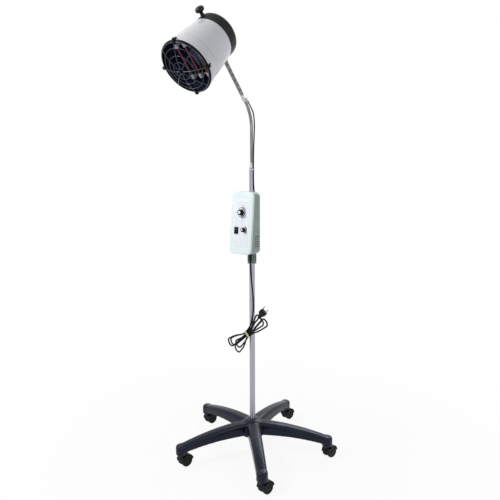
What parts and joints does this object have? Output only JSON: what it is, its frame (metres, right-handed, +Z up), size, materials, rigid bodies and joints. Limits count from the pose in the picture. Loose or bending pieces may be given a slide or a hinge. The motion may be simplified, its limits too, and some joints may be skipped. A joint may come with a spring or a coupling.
{
  "type": "hair color processor",
  "caption": "Salon infrared lamp on a flexible neck and telescopic post with a wedge control box, tied mains cord and a five-arm caster base.",
  "frame": {"origin": "on the floor on the axis of the post", "axes": "+Z up along the post; the lamp and the control face look along -Y; +X is to the right of a person who faces the controls"},
  "size_m": [0.6077, 0.7371, 1.654],
  "materials": {
    "base_nylon": "satin",
    "caster_black": "satin",
    "caster_tread": "satin",
    "chrome_tube": "polished",
    "zinc_steel": "zinc plated",
    "collar_grey": "satin",
    "collet_nylon": "natural nylon",
    "box_mint": "semi-gloss",
    "box_grey": "fine textured",
    "label_film": "printed film",
    "black_plastic": "gloss",
    "silver_trim": "spun",
    "board_green": "circuit board",
    "shell_white": "gloss enamel",
    "cap_charcoal": "fine textured",
    "rim_black": "satin",
    "guard_wire": "plated wire",
    "reflector_blue": "anodised",
    "ruby_quartz": "ruby quartz",
    "ceramic_white": "glazed",
    "cord_black": "satin",
    "tie_pale": "satin",
    "pin_brass": "nickel plated"
  },
  "bodies": {
    "stand": {"star_base": "base_nylon", "caster_stems": "zinc_steel", "lower_pole": "chrome_tube", "hub_screw": "zinc_steel", "pole_collet": "collet_nylon"},
    "caster_swivel_1": {"caster_hood_1": "caster_black"},
    "caster_roller_1": {"caster_wheels_1": "caster_tread"},
    "caster_swivel_2": {"caster_hood_2": "caster_black"},
    "caster_roller_2": {"caster_wheels_2": "caster_tread"},
    "caster_swivel_3": {"caster_hood_3": "caster_black"},
    "caster_roller_3": {"caster_wheels_3": "caster_tread"},
    "caster_swivel_4": {"caster_hood_4": "caster_black"},
    "caster_roller_4": {"caster_wheels_4": "caster_tread"},
    "caster_swivel_5": {"caster_hood_5": "caster_black"},
    "caster_roller_5": {"caster_wheels_5": "caster_tread"},
    "collar": {"lock_collar": "collar_grey"},
    "slider": {"pole_foot": "collet_nylon"},
    "mast": {"upper_pole": "chrome_tube", "pole_reducer": "silver_trim", "bent_tube": "chrome_tube", "neck_ferrule": "silver_trim", "lamp_lead": "cord_black", "lead_tie": "tie_pale", "box_shell": "box_grey", "box_cover": "box_mint", "label_plate": "label_film", "timer_unit": "collet_nylon", "power_control": "zinc_steel", "switch_case": "black_plastic", "control_board": "board_green", "post_clamps": "black_plastic", "box_screws": "zinc_steel", "cord_relief": "cord_black", "cord_drop": "cord_black", "cord_hank": "cord_black", "cord_tie": "tie_pale", "plug_body": "cord_black", "plug_pins": "pin_brass"},
    "timer_dial": {"timer_knob": "black_plastic", "timer_knob_cap": "silver_trim"},
    "power_dial": {"power_knob": "black_plastic"},
    "rocker_key": {"rocker": "black_plastic"},
    "link_1": {"neck_link_1": "silver_trim"},
    "link_2": {"neck_link_2": "silver_trim"},
    "link_3": {"neck_link_3": "silver_trim"},
    "link_4": {"neck_link_4": "silver_trim"},
    "link_5": {"neck_link_5": "silver_trim"},
    "link_6": {"neck_link_6": "silver_trim"},
    "head": {"neck_bell": "silver_trim", "lamp_shell": "shell_white", "front_bezel": "shell_white", "rim_ring": "rim_black", "rear_cap": "cap_charcoal", "aiming_handle": "black_plastic", "wire_guard": "guard_wire", "guard_clips": "rim_black", "reflector": "reflector_blue", "lamp_tubes": "ruby_quartz", "tube_holders": "ceramic_white", "deck_plate": "zinc_steel"}
  },
  "joints": [
    {"name": "caster_1_swivel", "type": "hinge", "parent": "stand", "child": "caster_swivel_1", "pos_m": [0.21397, -0.21027, 0.07], "axis": [0, 0, 1], "continuous": true},
    {"name": "caster_1_roll", "type": "hinge", "parent": "caster_swivel_1", "child": "caster_roller_1", "pos_m": [0.21575, -0.19337, 0.023], "axis": [-0.9945, 0.1045, 0], "continuous": true},
    {"name": "caster_2_swivel", "type": "hinge", "parent": "stand", "child": "caster_swivel_2", "pos_m": [0.2661, 0.13853, 0.07], "axis": [0, 0, 1], "continuous": true},
    {"name": "caster_2_roll", "type": "hinge", "parent": "caster_swivel_2", "child": "caster_roller_2", "pos_m": [0.26788, 0.15543, 0.023], "axis": [-0.9945, 0.1045, 0], "continuous": true},
    {"name": "caster_3_swivel", "type": "hinge", "parent": "stand", "child": "caster_swivel_3", "pos_m": [-0.04951, 0.29589, 0.07], "axis": [0, 0, 1], "continuous": true},
    {"name": "caster_3_roll", "type": "hinge", "parent": "caster_swivel_3", "child": "caster_roller_3", "pos_m": [-0.04774, 0.31279, 0.023], "axis": [-0.9945, 0.1045, 0], "continuous": true},
    {"name": "caster_4_swivel", "type": "hinge", "parent": "stand", "child": "caster_swivel_4", "pos_m": [-0.2967, 0.04434, 0.07], "axis": [0, 0, 1], "continuous": true},
    {"name": "caster_4_roll", "type": "hinge", "parent": "caster_swivel_4", "child": "caster_roller_4", "pos_m": [-0.29493, 0.06125, 0.023], "axis": [-0.9945, 0.1045, 0], "continuous": true},
    {"name": "caster_5_swivel", "type": "hinge", "parent": "stand", "child": "caster_swivel_5", "pos_m": [-0.13386, -0.26848, 0.07], "axis": [0, 0, 1], "continuous": true},
    {"name": "caster_5_roll", "type": "hinge", "parent": "caster_swivel_5", "child": "caster_roller_5", "pos_m": [-0.13208, -0.25157, 0.023], "axis": [-0.9945, 0.1045, 0], "continuous": true},
    {"name": "collar_twist", "type": "hinge", "parent": "stand", "child": "collar", "pos_m": [0, 0, 0.793], "axis": [0, 0, 1], "range_deg": [0, 75]},
    {"name": "height_slide", "type": "slide", "parent": "stand", "child": "slider", "axis": [0, 0, 1], "range_m": [0, 0.28]},
    {"name": "mast_turn", "type": "hinge", "parent": "slider", "child": "mast", "pos_m": [0, 0, 0.398], "axis": [0, 0, 1], "range_deg": [-165, 165]},
    {"name": "timer_turn", "type": "hinge", "parent": "mast", "child": "timer_dial", "pos_m": [0.004, -0.06519, 0.97277], "axis": [0, -0.9955, 0.0948], "range_deg": [-300, 0]},
    {"name": "power_turn", "type": "hinge", "parent": "mast", "child": "power_dial", "pos_m": [0.017, -0.07125, 0.90906], "axis": [0, -0.9955, 0.0948], "range_deg": [-270, 0]},
    {"name": "rocker_tilt", "type": "hinge", "parent": "mast", "child": "rocker_key", "pos_m": [-0.02, -0.06546, 0.90449], "axis": [1, 0, 0], "range_deg": [-14, 0]},
    {"name": "neck_nod_1", "type": "hinge", "parent": "mast", "child": "link_1", "pos_m": [0, -0.05196, 1.39483], "axis": [1, 0, 0], "range_deg": [-12, 12]},
    {"name": "neck_sway_1", "type": "hinge", "parent": "link_1", "child": "link_2", "pos_m": [0, -0.06495, 1.41004], "axis": [0, 0.7604, 0.6494], "range_deg": [-12, 12]},
    {"name": "neck_nod_2", "type": "hinge", "parent": "link_2", "child": "link_3", "pos_m": [0, -0.07793, 1.42525], "axis": [1, 0, 0], "range_deg": [-12, 12]},
    {"name": "neck_sway_2", "type": "hinge", "parent": "link_3", "child": "link_4", "pos_m": [0, -0.09092, 1.44046], "axis": [0, 0.7604, 0.6494], "range_deg": [-12, 12]},
    {"name": "neck_nod_3", "type": "hinge", "parent": "link_4", "child": "link_5", "pos_m": [0, -0.10391, 1.45566], "axis": [1, 0, 0], "range_deg": [-12, 12]},
    {"name": "neck_sway_3", "type": "hinge", "parent": "link_5", "child": "link_6", "pos_m": [0, -0.1169, 1.47087], "axis": [0, 0.7604, 0.6494], "range_deg": [-12, 12]},
    {"name": "neck_nod_4", "type": "hinge", "parent": "link_6", "child": "head", "pos_m": [0, -0.12989, 1.48608], "axis": [1, 0, 0], "range_deg": [-12, 12]}
  ]
}
